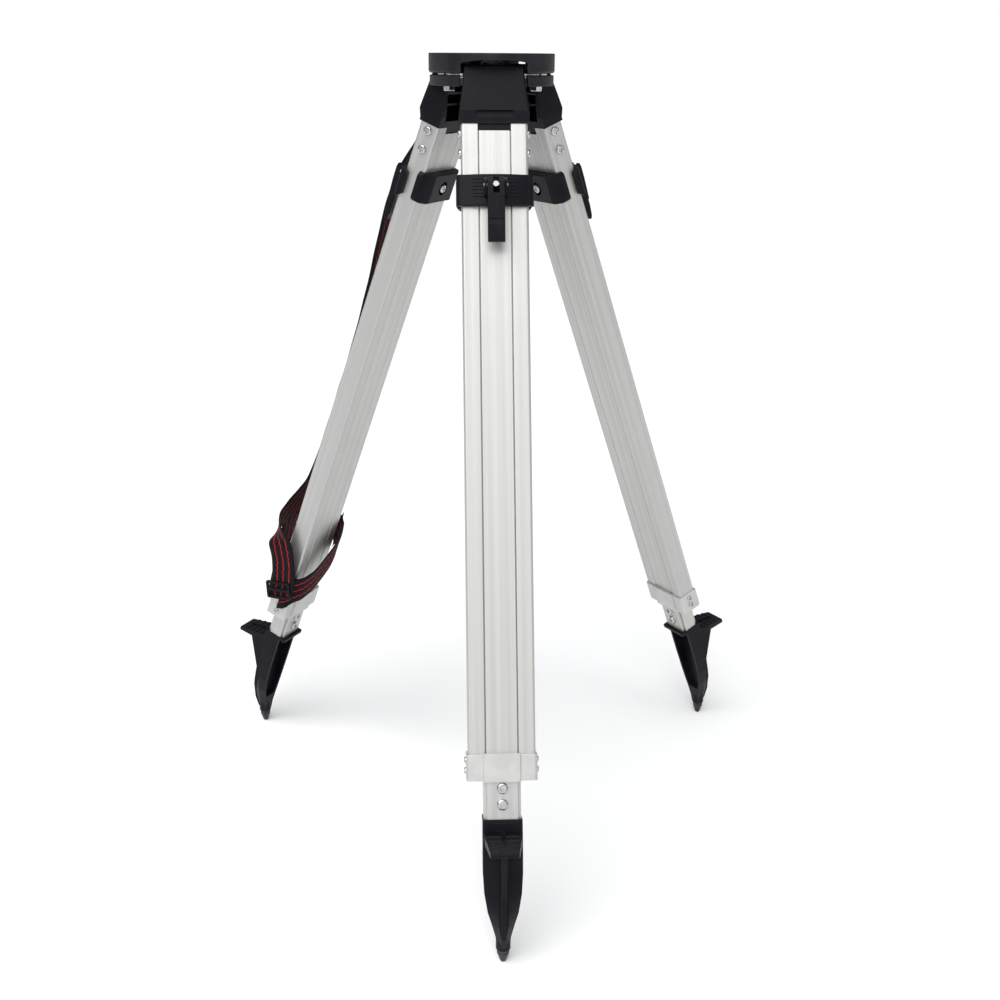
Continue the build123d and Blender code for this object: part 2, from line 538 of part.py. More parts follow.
def head_plate():
    """The disc, the arched skirt under its rim and the three bosses, cut from one thick disc."""
    blank = disc(HEAD_R, (LOBE_Z, 0))
    blank = fillet(blank.edges().group_by(Axis.Z)[-1], 1.2)
    blank = fillet(blank.edges().group_by(Axis.Z)[0], LOBE_CORNER_R)
    skirt = disc(HEAD_R + 10, (SKIRT_Z, 1)) - disc(SKIRT_R, (SKIRT_Z - 1, 2))
    arch = Pos(0, -60, ARCH_Z - ARCH_R) * Rot(90, 0, 0) * Cylinder(ARCH_R, 60)
    for turn in LEG_TURNS.values():
        skirt = skirt - Rot(0, 0, turn) * arch
    kept = disc(HEAD_R + 10, (-PLATE_T, 1)) + skirt
    for turn in LEG_TURNS.values():
        kept = kept + Rot(0, 0, turn) * sector_wedge((LOBE_Z - 1, 0))
    plate = blank & kept
    plate = plate - disc(WINDOW_R, (-20, 5))
    for turn in LEG_TURNS.values():
        plate = plate - hinge_pin(turn, FIT_FIXED)
        plate = plate - cap_bolt(turn - 30)
    return plate - Pos(0, ARM_PIVOT_Y, -5) * Cylinder(PIN_R, 4)


def bearing_cap(turn):
    cap = sector_wedge((CAP_BOTTOM_Z, CAP_TOP_Z)) & disc(CAP_R, (CAP_BOTTOM_Z, CAP_TOP_Z))
    cap = fillet(cap.edges().filter_by(Axis.Z), 2.0)
    cap = fillet(cap.edges().group_by(Axis.Z)[0] + cap.edges().group_by(Axis.Z)[-1], 1.2)
    cap = Rot(0, 0, turn) * cap
    for leg_turn in LEG_TURNS.values():
        cap = cap - hinge_pin(leg_turn, FIT_FIXED)
    return cap - cap_bolt(turn - 30)


def swivel_arm():
    outline = Pos(0, (ARM_PIVOT_Y + ARM_TIP_Y) / 2) * RectangleRounded(
        2 * ARM_HALF_WIDTH, ARM_PIVOT_Y - ARM_TIP_Y + 14, 7)
    slot = Pos(0, (ARM_SLOT_BACK_Y + ARM_SLOT_FRONT_Y) / 2) * Rectangle(
        2 * ARM_SLOT_HALF, ARM_SLOT_BACK_Y - ARM_SLOT_FRONT_Y)
    arm = Pos(0, 0, ARM_BOTTOM_Z) * extrude(outline - slot, ARM_TOP_Z - ARM_BOTTOM_Z)
    waist = Pos(0, ARM_PIVOT_Y + 4, -11) * (Box(60, 40, 10) - Box(15, 60, 12))
    return arm - waist - Pos(0, ARM_PIVOT_Y, -11) * Cylinder(3.0 + FIT_RUNNING, 20)


def arm_pivot():
    pin = Pos(0, ARM_PIVOT_Y, (ARM_BOTTOM_Z - 5) / 2) * Cylinder(3.0, -ARM_BOTTOM_Z - 1)
    stem = Pos(0, ARM_PIVOT_Y, -5) * Cylinder(PIN_R, 4)
    washer = Pos(0, ARM_PIVOT_Y, (ARM_TOP_Z + 0.3 - PLATE_T) / 2) * Cylinder(6.5, -ARM_TOP_Z - 0.3 - PLATE_T)
    head = Pos(0, ARM_PIVOT_Y, ARM_BOTTOM_Z - 0.3 - 1.6) * Cylinder(6.5, 3.2)
    return pin + stem + washer + head


def screw_carriage():
    lower = disc(13, (CARRIAGE_BOTTOM_Z, ARM_BOTTOM_Z - CARRIAGE_GAP))
    neck = Pos(0, 0, (ARM_TOP_Z + ARM_BOTTOM_Z) / 2) * Box(
        2 * CARRIAGE_NECK_HALF, 2 * CARRIAGE_NECK_HALF, ARM_TOP_Z - ARM_BOTTOM_Z + 2 * CARRIAGE_GAP)
    upper = disc(9.8, (ARM_TOP_Z + CARRIAGE_GAP, CARRIAGE_TOP_Z))
    return lower + neck + upper - disc(SCREW_SHANK_R + FIT_RUNNING, (-40, 10))


def instrument_screw():
    screw = disc(SCREW_R, (SCREW_THREAD_END_Z, 0)) + disc(SCREW_SHANK_R, (HANDLE_BOTTOM_Z + 2, SCREW_THREAD_END_Z))
    return screw - disc(2.5, (HANDLE_BOTTOM_Z, 1))


def screw_handle():
    grip = disc(HANDLE_R, (HANDLE_BOTTOM_Z, HANDLE_TOP_Z - 6)) + disc(9.5, (HANDLE_TOP_Z - 6, HANDLE_TOP_Z))
    grip = grip - disc(SCREW_SHANK_R, (HANDLE_BOTTOM_Z + 2, HANDLE_TOP_Z + 1))
    grip = grip - disc(2.5, (HANDLE_BOTTOM_Z - 1, HANDLE_BOTTOM_Z + 3))
    for flute in range(10):
        grip = grip - Rot(0, 0, 36 * flute) * Pos(HANDLE_R + 1.2, 0, -60) * Cylinder(2.4, 60 - 7 * 2)
    return grip


def plumb_hook():
    stem = disc(2.0, (HANDLE_BOTTOM_Z - 8, -12)) + disc(4.2, (HANDLE_BOTTOM_Z - 2.8, HANDLE_BOTTOM_Z - 0.4))
    ring = Pos(0, 0, HANDLE_BOTTOM_Z - 12) * Rot(90, 0, 0) * Torus(5.2, 1.3)
    gap = Pos(4, 0, HANDLE_BOTTOM_Z - 10) * Box(5, 6, 4)
    return stem + (ring - gap)


# ---------------------------------------------------------------- write the pieces
def write(node, solids):
    pieces = solids if isinstance(solids, list) else [solids]
    flat = [solid for piece in pieces for solid in piece.solids()]
    shape = flat[0] if len(flat) == 1 else Compound(children=flat)
    export_step(shape, "parts/" + node + ".step")


def write_head():
    write("head_plate", head_plate())
    for name, turn in (("right", 0), ("back", 120), ("left", 240)):
        write("bearing_cap_" + name, bearing_cap(turn))
    write("cap_bolts", [cap_bolt(turn - 30) for turn in LEG_TURNS.values()])
    write("hinge_pins", [hinge_pin(turn) for turn in LEG_TURNS.values()])
    write("swivel_arm", swivel_arm())
    write("arm_pivot", arm_pivot())
    write("screw_carriage", screw_carriage())
    write("instrument_screw", instrument_screw())
    write("screw_handle", screw_handle())
    write("plumb_hook", plumb_hook())


def write_legs():
    screws = rail_screws()
    bolts = boot_bolts()
    pieces = {
        "top_casting": with_bolt_holes(top_casting(), screws),
        "rail_a": with_bolt_holes(rail(-1), screws),
        "rail_b": with_bolt_holes(rail(1), screws),
        "collar": with_bolt_holes(collar(), screws),
        "rail_screws": screws,
        "inner_leg": with_bolt_holes(inner_leg(), bolts),
        "clamp_band": clamp_band(),
        "clamp_plate": clamp_plate(),
        "draw_bolt": draw_bolt(),
        "lever": lever(),
        "lever_pin": rod_across(LEVER_PIN_R, (-PIN_END, PIN_END), LEVER_PIVOT_V, LEVER_PIVOT_U),
        "boot": with_bolt_holes(boot(), bolts),
        "boot_bolts": bolts,
        "foot_point": foot_point(),
    }
    for leg, turn in LEG_TURNS.items():
        place = leg_plane(turn).location
        for name, shape in pieces.items():
            placed = [place * one for one in shape] if isinstance(shape, list) else place * shape
            write(leg + "_" + name, placed)


def write_strap():
    place = leg_plane(LEG_TURNS["left"]).location
    write("strap_anchor", place * strap_anchor())
    write("strap_webbing", place * ribbon(STRAP_ROUTE, STRAP_SPREAD, STRAP_WIDTH, STRAP_T))
    write("strap_loop", place * ribbon(LOOP_ROUTE, LOOP_SPREAD, STRAP_WIDTH, STRAP_T))
    write("strap_buckle", place * strap_buckle())


write_head()
write_legs()
write_strap()
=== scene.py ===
"""Looks for the surveyor tripod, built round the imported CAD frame.

Metres, in the CAD frame: +Z up, origin at the head's top face, the front leg towards -Y.
A leg has its own coordinates: u down the leg from the top of its rails, v outwards from the leg's outer
face and w across it.  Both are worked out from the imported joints.
"""
import json
import math

import bmesh
import bpy
from mathutils import Matrix, Vector


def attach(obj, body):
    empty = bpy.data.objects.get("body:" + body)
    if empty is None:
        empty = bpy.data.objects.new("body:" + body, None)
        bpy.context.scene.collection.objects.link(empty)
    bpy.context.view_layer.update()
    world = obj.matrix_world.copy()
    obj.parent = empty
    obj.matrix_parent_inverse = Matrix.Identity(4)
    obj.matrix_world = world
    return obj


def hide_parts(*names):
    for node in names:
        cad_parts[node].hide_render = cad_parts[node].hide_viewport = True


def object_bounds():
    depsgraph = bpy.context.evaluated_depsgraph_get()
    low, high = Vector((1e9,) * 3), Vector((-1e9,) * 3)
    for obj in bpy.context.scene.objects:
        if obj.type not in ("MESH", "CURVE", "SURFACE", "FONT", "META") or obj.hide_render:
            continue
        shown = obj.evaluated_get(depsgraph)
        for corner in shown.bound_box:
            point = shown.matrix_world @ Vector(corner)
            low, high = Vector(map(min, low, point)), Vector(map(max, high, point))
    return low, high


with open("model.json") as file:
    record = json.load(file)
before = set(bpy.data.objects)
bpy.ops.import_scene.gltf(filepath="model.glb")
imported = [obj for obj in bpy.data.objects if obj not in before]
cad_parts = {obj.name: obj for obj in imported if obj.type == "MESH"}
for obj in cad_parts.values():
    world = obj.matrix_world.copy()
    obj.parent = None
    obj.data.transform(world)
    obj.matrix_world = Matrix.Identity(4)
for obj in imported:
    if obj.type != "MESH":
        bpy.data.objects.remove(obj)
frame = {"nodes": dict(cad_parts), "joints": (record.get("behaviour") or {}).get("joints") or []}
CAD_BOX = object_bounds()

MM = 0.001
LEGS = ("front", "right", "left")
JOINTS = {joint["name"]: joint for joint in frame["joints"]}
HINGE_TO_RAIL = 61.1 * MM

# The camera: metres, degrees and a 36 mm sensor's focal length
CAMERA_DISTANCE = 1.6224
CAMERA_HEIGHT = 0.0057
CAMERA_TILT = 19.005
CAMERA_PAN = -0.471
CAMERA_ROLL = 0.397
TRIPOD_TURN = 2.558
CAMERA_LENS = 47.24


# ---------------------------------------------------------------- leg coordinates
def leg_matrix(leg):
    """From leg coordinates (w, -v, -u) to the object's frame."""
    hinge = Vector(JOINTS[leg + "_leg_hinge"]["pos_m"])
    across = -Vector(JOINTS[leg + "_leg_hinge"]["axis"]).normalized()
    up_leg = -Vector(JOINTS[leg + "_leg_slide"]["axis"]).normalized()
    inwards = up_leg.cross(across)
    turn = Matrix((across, inwards, up_leg)).transposed().to_4x4()
    return Matrix.Translation(hinge - up_leg * HINGE_TO_RAIL) @ turn


LEG = {leg: leg_matrix(leg) for leg in LEGS}


def on_leg(leg, u, v, w):
    """A point given in millimetres along, out of and across a leg."""
    return LEG[leg] @ Vector((w * MM, -v * MM, -u * MM))


# ---------------------------------------------------------------- shader helpers
class Shade:
    """A material under construction: each method adds a node and returns its output socket."""

    def __init__(self, name):
        self.material = bpy.data.materials.new(name)
        self.material.use_nodes = True
        self.nodes = self.material.node_tree.nodes
        self.links = self.material.node_tree.links
        self.shader = self.nodes["Principled BSDF"]

    def add(self, kind, inputs=(), **settings):
        node = self.nodes.new(kind)
        for key, value in settings.items():
            setattr(node, key, value)
        for slot, value in dict(inputs).items():
            self.put(node.inputs[slot], value)
        return node

    def put(self, socket, value):
        if isinstance(value, bpy.types.NodeSocket):
            self.links.new(value, socket)
        else:
            socket.default_value = value

    def set(self, **values):
        """Shader sockets by name, with _ for a space."""
        for key, value in values.items():
            self.put(self.shader.inputs[key.replace("_", " ")], value)

    def place(self, leg=None, stretch=(1, 1, 1)):
        """Object coordinates, in a leg's own axes if one is named, stretched along each axis."""
        source = self.add("ShaderNodeTexCoord").outputs["Object"]
        turn = LEG[leg].to_euler() if leg else (0, 0, 0)
        inputs = {"Vector": source, "Rotation": turn, "Scale": stretch}
        return self.add("ShaderNodeMapping", inputs, vector_type="TEXTURE").outputs["Vector"]

    def noise(self, vector, scale, detail=3.0, roughness=0.5):
        inputs = {"Vector": vector, "Scale": scale, "Detail": detail, "Roughness": roughness}
        return self.add("ShaderNodeTexNoise", inputs).outputs["Fac"]

    def math(self, operation, *values):
        node = self.add("ShaderNodeMath", operation=operation)
        for socket, value in zip(node.inputs, values):
            self.put(socket, value)
        return node.outputs[0]

    def between(self, value, low, high, to_low=0.0, to_high=1.0):
        inputs = {"Value": value, "From Min": low, "From Max": high, "To Min": to_low, "To Max": to_high}
        return self.add("ShaderNodeMapRange", inputs, interpolation_type="SMOOTHSTEP").outputs["Result"]

    def mix(self, share, first, second):
        node = self.add("ShaderNodeMix", data_type="RGBA")
        self.put(node.inputs["Factor"], share)
        self.put(node.inputs[6], first)
        self.put(node.inputs[7], second)
        return node.outputs[2]

    def bump(self, height, distance, strength=1.0, normal=None):
        inputs = {"Height": height, "Distance": distance, "Strength": strength}
        if normal is not None:
            inputs["Normal"] = normal
        return self.add("ShaderNodeBump", inputs).outputs["Normal"]

    def edges(self, radius):
        """1 near a convex or concave edge, 0 on flat ground."""
        soft = self.add("ShaderNodeBevel", {"Radius": radius}, samples=4).outputs["Normal"]
        hard = self.add("ShaderNodeNewGeometry").outputs["Normal"]
        node = self.add("ShaderNodeVectorMath", operation="DOT_PRODUCT")
        self.put(node.inputs[0], soft)
        self.put(node.inputs[1], hard)
        return self.between(node.outputs["Value"], 0.985, 0.86)


def grey(value, tint=(1.0, 1.0, 1.0)):
    return (value * tint[0], value * tint[1], value * tint[2], 1.0)


# ---------------------------------------------------------------- materials
def satin_aluminium(name, leg):
    """Anodised extrusion: die lines along the leg, slight cloudiness and a few handling marks."""
    shade = Shade(name)
    lines = shade.noise(shade.place(leg, (0.0007, 0.0007, 0.35)), 1.0, 2.0)
    broad_lines = shade.noise(shade.place(leg, (0.006, 0.006, 1.2)), 1.0, 2.0)
    cloud = shade.noise(shade.place(leg), 26.0, 4.0)
    rubs = shade.noise(shade.place(leg, (0.004, 0.004, 0.05)), 1.0, 5.0, 0.7)
    rubbed = shade.between(rubs, 0.62, 0.74)
    cool = grey(0.485, (0.99, 1.0, 0.98))
    warm = grey(0.535, (1.0, 1.0, 0.965))
    tone = shade.mix(shade.between(broad_lines, 0.35, 0.65), cool, warm)
    tone = shade.mix(shade.math("MULTIPLY", rubbed, 0.25), tone, grey(0.44))
    dull = shade.math("MULTIPLY_ADD", lines, 0.10, 0.35)
    dull = shade.math("MULTIPLY_ADD", cloud, 0.10, dull)
    shade.set(Base_Color=tone, Metallic=0.86, Roughness=dull)
    shade.set(Normal=shade.bump(lines, 0.00002, 0.6))
    return shade.material


def light_grey_collar(name, leg):
    """Die-cast end fitting with a tumbled, matte skin and a painted highlight along every edge."""
    shade = Shade(name)
    grain = shade.noise(shade.place(leg), 1400.0, 2.0)
    cloud = shade.noise(shade.place(leg), 40.0, 4.0)
    cool = grey(0.50, (0.99, 1.0, 0.98))
    warm = grey(0.565, (1.0, 1.0, 0.97))
    tone = shade.mix(shade.between(cloud, 0.35, 0.68), cool, warm)
    # Painted highlight: every edge, convex and concave alike, is mixed 35 per cent of the way to pale grey
    tone = shade.mix(shade.math("MULTIPLY", shade.edges(0.0008), 0.35), tone, grey(0.80))
    shade.set(Base_Color=tone, Metallic=0.62, Roughness=shade.math("MULTIPLY_ADD", cloud, 0.12, 0.40))
    shade.set(Normal=shade.bump(grain, 0.00004, 0.5))
    return shade.material


def black_plastic(name, leg):
    """Moulded glass-filled nylon: fine spark texture, a little dust and pale scuffed edges."""
    shade = Shade(name)
    grain = shade.noise(shade.place(leg), 2600.0, 2.0)
    cloud = shade.noise(shade.place(leg), 34.0, 5.0, 0.6)
    dark = grey(0.0045, (1.0, 0.76, 1.45))
    dusty = grey(0.0085, (1.0, 0.82, 1.30))
    tone = shade.mix(shade.between(cloud, 0.42, 0.75), dark, dusty)
    scuffs = shade.noise(shade.place(leg, (0.002, 0.002, 0.01)), 1.0, 4.0, 0.7)
    worn = shade.math("MULTIPLY", shade.edges(0.0006), shade.between(scuffs, 0.40, 0.62))
    tone = shade.mix(shade.math("MULTIPLY", worn, 0.55), tone, grey(0.075, (1.0, 0.94, 1.05)))
    shade.set(Base_Color=tone, Roughness=shade.math("MULTIPLY_ADD", cloud, 0.16, 0.36))
    shade.set(Specular_IOR_Level=0.13, Normal=shade.bump(grain, 0.00005, 0.55))
    return shade.material


def lever_black(name, leg):
    """Smoother, glossier plastic of the cam levers and the strap's slide."""
    shade = Shade(name)
    cloud = shade.noise(shade.place(leg, (0.004, 0.004, 0.03)), 1.0, 4.0)
    dark = grey(0.003, (1, 0.8, 1.4))
    dusty = grey(0.006, (1, 0.86, 1.3))
    tone = shade.mix(shade.between(cloud, 0.35, 0.7), dark, dusty)
    shade.set(Base_Color=tone, Roughness=shade.math("MULTIPLY_ADD", cloud, 0.14, 0.24))
    shade.set(Specular_IOR_Level=0.13, Normal=shade.bump(cloud, 0.00008, 0.3))
    return shade.material


def head_black(name):
    """Cast aluminium under a textured black coating, rubbed brighter along its edges."""
    shade = Shade(name)
    pebble = shade.noise(shade.place(), 900.0, 3.0, 0.6)
    cloud = shade.noise(shade.place(), 45.0, 4.0)
    dark = grey(0.007, (1, 0.82, 1.3))
    dusty = grey(0.014, (1, 0.86, 1.22))
    tone = shade.mix(shade.between(cloud, 0.38, 0.7), dark, dusty)
    chips = shade.noise(shade.place(), 220.0, 5.0, 0.7)
    worn = shade.math("MULTIPLY", shade.edges(0.0007), shade.between(chips, 0.46, 0.64))
    tone = shade.mix(shade.math("MULTIPLY", worn, 0.7), tone, grey(0.12, (1, 0.95, 1.02)))
    shade.set(Base_Color=tone, Roughness=shade.math("MULTIPLY_ADD", cloud, 0.14, 0.42))
    shade.set(Specular_IOR_Level=0.22, Normal=shade.bump(pebble, 0.00012, 0.6))
    return shade.material


def zinc_steel(name):
    """Zinc plate with a faint blue and straw passivation."""
    shade = Shade(name)
    cloud = shade.noise(shade.place(), 240.0, 3.0)
    fine = shade.noise(shade.place(), 3000.0, 2.0)
    bluish = grey(0.44, (0.92, 0.98, 1.10))
    straw = grey(0.56, (1.04, 1.0, 0.92))
    tone = shade.mix(shade.between(cloud, 0.35, 0.65), bluish, straw)
    shade.set(Base_Color=tone, Metallic=1.0, Roughness=shade.math("MULTIPLY_ADD", fine, 0.16, 0.16))
    shade.set(Normal=shade.bump(fine, 0.00001, 0.4))
    return shade.material


def black_steel(name):
    """Blackened steel, ground dull where it meets the earth."""
    shade = Shade(name)
    cloud = shade.noise(shade.place(), 120.0, 5.0, 0.65)
    dark = grey(0.022, (1, 0.9, 1.12))
    worn = grey(0.060, (1, 0.95, 1.0))
    tone = shade.mix(shade.between(cloud, 0.40, 0.68), dark, worn)
    shade.set(Base_Color=tone, Metallic=0.55, Roughness=shade.math("MULTIPLY_ADD", cloud, 0.25, 0.30))
    shade.set(Normal=shade.bump(cloud, 0.0001, 0.5))
    return shade.material


WEBBING_WIDTH = 38.0 * MM
WEBBING_LINES = (0.24, 0.50, 0.76)
# The weave, in millimetres
RIB_PITCH = 1.3
WARP_PITCH = 1.6
LINE_WAVE_PITCH = 8.5
LINE_WAVE = 0.55
LINE_WANDER = 4.2
LINE_HALF_WIDTHS = (0.85, 0.50)


def strap_webbing(name):
    """Black webbing with three thin, wavering red yarns.  UV: across 0 to 1, along in metres."""
    shade = Shade(name)
    place = shade.add("ShaderNodeTexCoord").outputs["UV"]
    parts = shade.add("ShaderNodeSeparateXYZ", {"Vector": place})
    across = shade.math("MULTIPLY", parts.outputs["X"], WEBBING_WIDTH / MM)
    along = shade.math("MULTIPLY", parts.outputs["Y"], 1 / MM)
    column = shade.math("FLOOR", shade.math("DIVIDE", across, WARP_PITCH))
    phase = shade.math("MULTIPLY", column, math.pi)
    rib = shade.math("SINE", shade.math("MULTIPLY_ADD", along, 2 * math.pi / RIB_PITCH, phase))
    yarn = shade.math("ABSOLUTE", shade.math("SINE", shade.math("MULTIPLY", across, math.pi / WARP_PITCH)))
    height = shade.math("MULTIPLY", shade.math("MULTIPLY_ADD", rib, 0.5, 0.5), shade.math("SQRT", yarn))
    stretched = shade.add("ShaderNodeMapping", {"Vector": place, "Scale": (1.2, 150, 1)}).outputs["Vector"]
    wander = shade.math("SUBTRACT", shade.noise(stretched, 1.0, 3.0, 0.7), 0.5)
    wave = shade.math("SINE", shade.math("MULTIPLY", along, 2 * math.pi / LINE_WAVE_PITCH))
    swing = shade.math("MULTIPLY", wave, LINE_WAVE)
    drift = shade.math("ADD", swing, shade.math("MULTIPLY", wander, LINE_WANDER))
    red = None
    for line in WEBBING_LINES:
        centre = shade.math("ADD", drift, line * WEBBING_WIDTH / MM)
        off_line = shade.math("ABSOLUTE", shade.math("SUBTRACT", across, centre))
        on_line = shade.between(off_line, *LINE_HALF_WIDTHS)
        red = on_line if red is None else shade.math("MAXIMUM", red, on_line)
    fuzz = shade.noise(shade.place(), 900.0, 3.0)
    black = shade.mix(fuzz, grey(0.0028, (1, 0.85, 1.25)), grey(0.007, (1, 0.88, 1.2)))
    scarlet = shade.mix(fuzz, (0.50, 0.006, 0.010, 1), (0.70, 0.020, 0.020, 1))
    lit = shade.math("MULTIPLY", red, shade.between(height, 0.10, 0.45, 0.35, 1.0))
    shade.set(Base_Color=shade.mix(lit, black, scarlet), Roughness=0.88)
    shade.set(Sheen_Weight=0.06, Sheen_Roughness=0.5, Specular_IOR_Level=0.10)
    shade.set(Normal=shade.bump(height, 0.00035, 0.9))
    return shade.material


def floor_material():
    shade = Shade("pale_floor")
    patch = shade.noise(shade.place(), 3.0, 2.0)
    shade.set(Base_Color=shade.mix(patch, grey(0.92), grey(0.94)), Roughness=0.9, Specular_IOR_Level=0.1)
    shade.set(Emission_Color=grey(1.0), Emission_Strength=FLOOR_GLOW)
    return shade.material


MAKERS = {"satin_aluminium": satin_aluminium, "light_grey_collar": light_grey_collar,
          "black_plastic": black_plastic, "lever_black": lever_black}
PLAIN_MAKERS = {"head_black": head_black, "zinc_steel": zinc_steel, "black_steel": black_steel,
                "strap_webbing": strap_webbing}
made = {}


def material(slot, leg=None):
    """The material of one of the record's slots, once for each leg where its grain follows the leg."""
    key = (slot, leg) if slot in MAKERS else (slot, None)
    if key not in made:
        name = slot if key[1] is None else slot + "_" + leg
        made[key] = MAKERS[slot](name, leg) if slot in MAKERS else PLAIN_MAKERS[slot](name)
    return made[key]


SLOT_OF = {"rail_a": "satin_aluminium", "rail_b": "satin_aluminium", "inner_leg": "satin_aluminium",
           "collar": "light_grey_collar", "top_casting": "black_plastic", "clamp_band": "black_plastic",
           "clamp_plate": "black_plastic", "boot": "black_plastic", "lever": "lever_black",
           "rail_screws": "zinc_steel", "boot_bolts": "zinc_steel", "draw_bolt": "zinc_steel",
           "lever_pin": "zinc_steel", "foot_point": "black_steel"}
HEAD_SLOT_OF = {
    "head_plate": "head_black", "bearing_cap_right": "head_black", "bearing_cap_back": "head_black",
    "bearing_cap_left": "head_black", "swivel_arm": "black_steel", "arm_pivot": "black_steel",
    "cap_bolts": "zinc_steel", "hinge_pins": "zinc_steel", "screw_carriage": "black_steel",
    "plumb_hook": "zinc_steel", "instrument_screw": "zinc_steel", "screw_handle": "lever_black",
    "strap_anchor": "black_steel", "strap_buckle": "lever_black",
    "strap_webbing": "strap_webbing", "strap_loop": "strap_webbing"}


def dress_nodes():
    """Gives every CAD node its material."""
    for name, node in frame["nodes"].items():
        leg, _, part = name.partition("_")
        slot = SLOT_OF[part] if leg in LEGS and part in SLOT_OF else HEAD_SLOT_OF[name]
        node.data.materials.clear()
        node.data.materials.append(material(slot, leg if leg in LEGS else "left"))


# ---------------------------------------------------------------- building pieces
def piece_from(bm, name, body, slot):
    """A smooth-shaded piece that rides on a body, from a finished bmesh."""
    bmesh.ops.recalc_face_normals(bm, faces=bm.faces)
    mesh = bpy.data.meshes.new(name)
    bm.to_mesh(mesh)
    bm.free()
    for polygon in mesh.polygons:
        polygon.use_smooth = True
    piece = bpy.data.objects.new(name, mesh)
    bpy.context.scene.collection.objects.link(piece)
    mesh.materials.append(material(slot))
    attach(piece, body)
    return piece


def smooth_line(values, steps):
    """Points on the curve through a list of vectors, with the given number of steps in each span."""
    line = []
    for i, count in enumerate(steps):
        p1 = values[i]
        p2 = values[i + 1]
        p0 = values[i - 1] if i > 0 else p1 * 2 - p2
        p3 = values[i + 2] if i + 2 < len(values) else p2 * 2 - p1
        for step in range(count):
            t = step / count
            line.append(0.5 * ((2 * p1) + (p2 - p0) * t + (2 * p0 - 5 * p1 + 4 * p2 - p3) * t * t
                               + (3 * p1 - p0 - 3 * p2 + p3) * t ** 3))
    return line + [values[-1]]


# ---------------------------------------------------------------- carrying strap
# Centrelines as (u, v, w) in millimetres, and the band's width direction at each of their points
STRAP_ROUTE = [
    (14, 34, -32), (40, 38.5, -32), (80, 49, -32), (115, 52, -32), (150, 51.5, -32), (200, 47, -32),
    (255, 42, -32), (350, 38.5, -32), (460, 38.5, -32), (535, 41, -31), (570, 45.5, -20), (594, 47.5, 3),
    (604, 43, 27), (612, 33, 41), (622, 21, 48.6), (640, 10, 49.2), (660, 2, 49.2), (676, -2, 49.2),
    (702, -5, 49.2)]
STRAP_SPREAD = [(0, 0, -1)] * 9 + [
    (0.15, 0, -0.99), (0.5, 0, -0.87), (0.8, 0, -0.6), (0.8, 0.1, -0.55), (0.7, 0.5, -0.5),
    (0.5, 0.86, 0), (0.42, 0.9, 0), (0.4, 0.92, 0), (0.4, 0.92, 0), (0.4, 0.92, 0)]
LOOP_ROUTE = [
    (699, -2, 46.3), (694.5, -8, 46.5), (690.5, -12.5, 46), (685.5, -17.6, 43.4), (682, -21.2, 38.8),
    (678.5, -24.8, 33), (674, -27.3, 26), (667, -29, 15), (655, -29.5, 0), (642, -29, -15),
    (632.5, -27.3, -26), (627, -24.8, -33), (622.5, -21.2, -38.8), (618.5, -17.6, -43.4),
    (615, -12.5, -46), (611, -8, -46.8), (605, 10, -49), (602, 32, -50), (604, 50, -44),
    (618, 58, -36), (640, 58.5, -32), (670, 55, -32), (710, 53, -32), (750, 50, -32)]
LOOP_SPREAD = [(1, 0, 0)] * 18 + [
    (0.87, -0.4, -0.25), (0.38, -0.3, -0.87), (0.08, 0, -1), (0, 0, -1), (0, 0, -1), (0, 0, -1)]
WEBBING_T = 1.9 * MM
WEBBING_STEP = 1.6 * MM
COLUMNS = 16
SELVEDGE_T = 0.35
SELVEDGE_RISE = 6
CUP = 0.5 * MM
# Slight waves along the band: height, radians per metre and start
RIPPLES = ((0.25 * MM, 95, 0.0), (0.2 * MM, 41, 1.3))


def webbing(name, route, spread):
    """A woven band along a route of (u, v, w) points, its width along the spread direction."""
    points = [on_leg("left", *place) for place in route]
    turn = LEG["left"].to_3x3()
    widths = [turn @ Vector((s[2], -s[1], -s[0])) for s in spread]
    steps = [max(2, round((b - a).length / WEBBING_STEP)) for a, b in zip(points, points[1:])]
    centres = smooth_line(points, steps)
    acrosses = smooth_line(widths, steps)
    bm = bmesh.new()
    uv = bm.loops.layers.uv.new("UVMap")
    rings = []
    travelled = 0.0
    for i, centre in enumerate(centres):
        ahead = centres[min(i + 1, len(centres) - 1)]
        behind = centres[max(i - 1, 0)]
        along = (ahead - behind).normalized()
        across = acrosses[i].normalized()
        lean = along.dot(across)
        slanted_width = WEBBING_WIDTH / math.sqrt(1 - lean * lean)
        normal = along.cross(across).normalized()
        travelled += (centre - centres[i - 1]).length if i else 0.0
        ripple = sum(height * math.sin(travelled * rate + start) for height, rate, start in RIPPLES)
        ring = []
        for side in (1, -1):
            for column in range(COLUMNS + 1):
                share = column / COLUMNS if side > 0 else 1 - column / COLUMNS
                edge = min(1.0, SELVEDGE_T + SELVEDGE_RISE * min(share, 1 - share))
                cup = CUP * (4 * (share - 0.5) ** 2)
                offset = across * (share - 0.5) * slanted_width
                offset = offset + normal * (side * edge * WEBBING_T / 2 - cup + ripple)
                vertex = bm.verts.new(centre + offset)
                ring.append((vertex, share))
        rings.append((ring, travelled))
    for (first, start), (second, end) in zip(rings, rings[1:]):
        for a in range(len(first)):
            b = (a + 1) % len(first)
            face = bm.faces.new((first[a][0], first[b][0], second[b][0], second[a][0]))
            places = ((first[a][1], start), (first[b][1], start), (second[b][1], end), (second[a][1], end))
            for loop, place in zip(face.loops, places):
                loop[uv].uv = place
    for ring, _ in (rings[0], rings[-1]):
        bm.faces.new([vertex for vertex, _ in ring])
    return piece_from(bm, name, "left_leg", "strap_webbing"), travelled


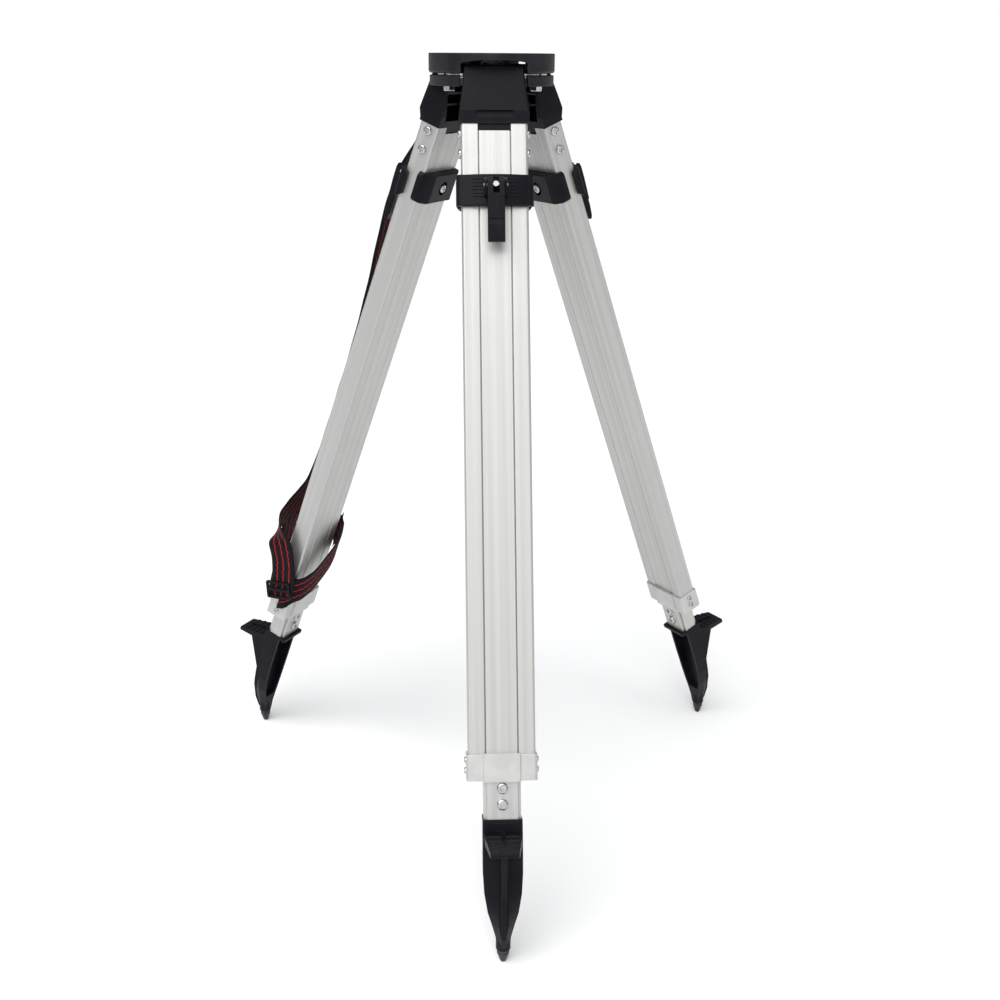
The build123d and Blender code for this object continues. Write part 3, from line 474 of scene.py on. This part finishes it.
def strap():
    band, band_length = webbing("webbing_upper", STRAP_ROUTE, STRAP_SPREAD)
    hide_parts("strap_webbing")
    loop, loop_length = webbing("webbing_loop", LOOP_ROUTE, LOOP_SPREAD)
    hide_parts("strap_loop")
    print("webbing lengths", round(band_length, 4), round(loop_length, 4))


# ---------------------------------------------------------------- floor, light and camera
FLOOR_Z = CAD_BOX[0].z
FLOOR_SIZE = 40.0
FLOOR_GLOW = 0.07
BACKDROP = 1.0
SKY = 0.32
SKY_COLOUR = (0.95, 0.97, 1.0, 1.0)
LIGHT_AIM = (0, 0, -0.5)
# Name, place, size in metres and power in watts
AREA_LIGHTS = (("key", (-0.4, -3.2, 0.8), 3.4, 25), ("fill", (2.2, -1.2, 0.5), 1.2, 4))
SUN_STRENGTH = 2.8
SUN_SPREAD = 60
SUN_TURN = (26, -20, 0)
SENSOR_WIDTH = 36
VIEW_END = 100


def floor():
    bm = bmesh.new()
    bmesh.ops.create_grid(bm, x_segments=4, y_segments=4, size=FLOOR_SIZE)
    mesh = bpy.data.meshes.new("floor")
    bm.to_mesh(mesh)
    bm.free()
    ground = bpy.data.objects.new("floor", mesh)
    ground.location = (0, 0, FLOOR_Z)
    mesh.materials.append(floor_material())
    bpy.context.scene.collection.objects.link(ground)


def area_light(name, place, aim, size, power):
    light = bpy.data.lights.new(name, "AREA")
    light.shape = "DISK"
    light.size = size
    light.energy = power
    lamp = bpy.data.objects.new(name, light)
    lamp.location = place
    lamp.rotation_mode = "QUATERNION"
    lamp.rotation_quaternion = (Vector(aim) - Vector(place)).to_track_quat("-Z", "Y")
    bpy.context.scene.collection.objects.link(lamp)


def studio():
    """White behind, a dimmer sky for all but the camera's direct view, a wide key and a soft sun."""
    world = bpy.data.worlds.new("studio")
    world.use_nodes = True
    nodes = world.node_tree.nodes
    links = world.node_tree.links
    nodes.clear()
    ray = nodes.new("ShaderNodeLightPath")
    seen = nodes.new("ShaderNodeBackground")
    seen.inputs["Color"].default_value = (1.0, 1.0, 1.0, 1.0)
    seen.inputs["Strength"].default_value = BACKDROP
    around = nodes.new("ShaderNodeBackground")
    around.inputs["Color"].default_value = SKY_COLOUR
    around.inputs["Strength"].default_value = SKY
    both = nodes.new("ShaderNodeMixShader")
    out = nodes.new("ShaderNodeOutputWorld")
    links.new(ray.outputs["Is Camera Ray"], both.inputs["Fac"])
    links.new(around.outputs["Background"], both.inputs[1])
    links.new(seen.outputs["Background"], both.inputs[2])
    links.new(both.outputs["Shader"], out.inputs["Surface"])
    bpy.context.scene.world = world
    for name, place, size, power in AREA_LIGHTS:
        area_light(name, place, LIGHT_AIM, size, power)
    sun = bpy.data.lights.new("sun", "SUN")
    sun.energy = SUN_STRENGTH
    sun.angle = math.radians(SUN_SPREAD)
    lamp = bpy.data.objects.new("sun", sun)
    lamp.rotation_euler = [math.radians(turn) for turn in SUN_TURN]
    bpy.context.scene.collection.objects.link(lamp)
    bpy.context.scene.view_settings.view_transform = "Standard"


def camera():
    """The photograph's view: level with the head, a little over a metre and a half away, looking down."""
    lens = bpy.data.cameras.new("camera")
    lens.lens = CAMERA_LENS
    lens.sensor_width = SENSOR_WIDTH
    lens.clip_end = VIEW_END
    eye = bpy.data.objects.new("camera", lens)
    turn = math.radians(-TRIPOD_TURN)
    place = Matrix.Rotation(turn, 4, "Z") @ Vector((0, -CAMERA_DISTANCE, CAMERA_HEIGHT))
    look = Matrix.Rotation(turn + math.radians(CAMERA_PAN), 4, "Z")
    look = look @ Matrix.Rotation(math.radians(90 - CAMERA_TILT), 4, "X")
    look = look @ Matrix.Rotation(math.radians(CAMERA_ROLL), 4, "Z")
    eye.matrix_world = Matrix.Translation(place) @ look
    bpy.context.scene.collection.objects.link(eye)
    bpy.context.scene.camera = eye


camera()
dress_nodes()
strap()
floor()
studio()
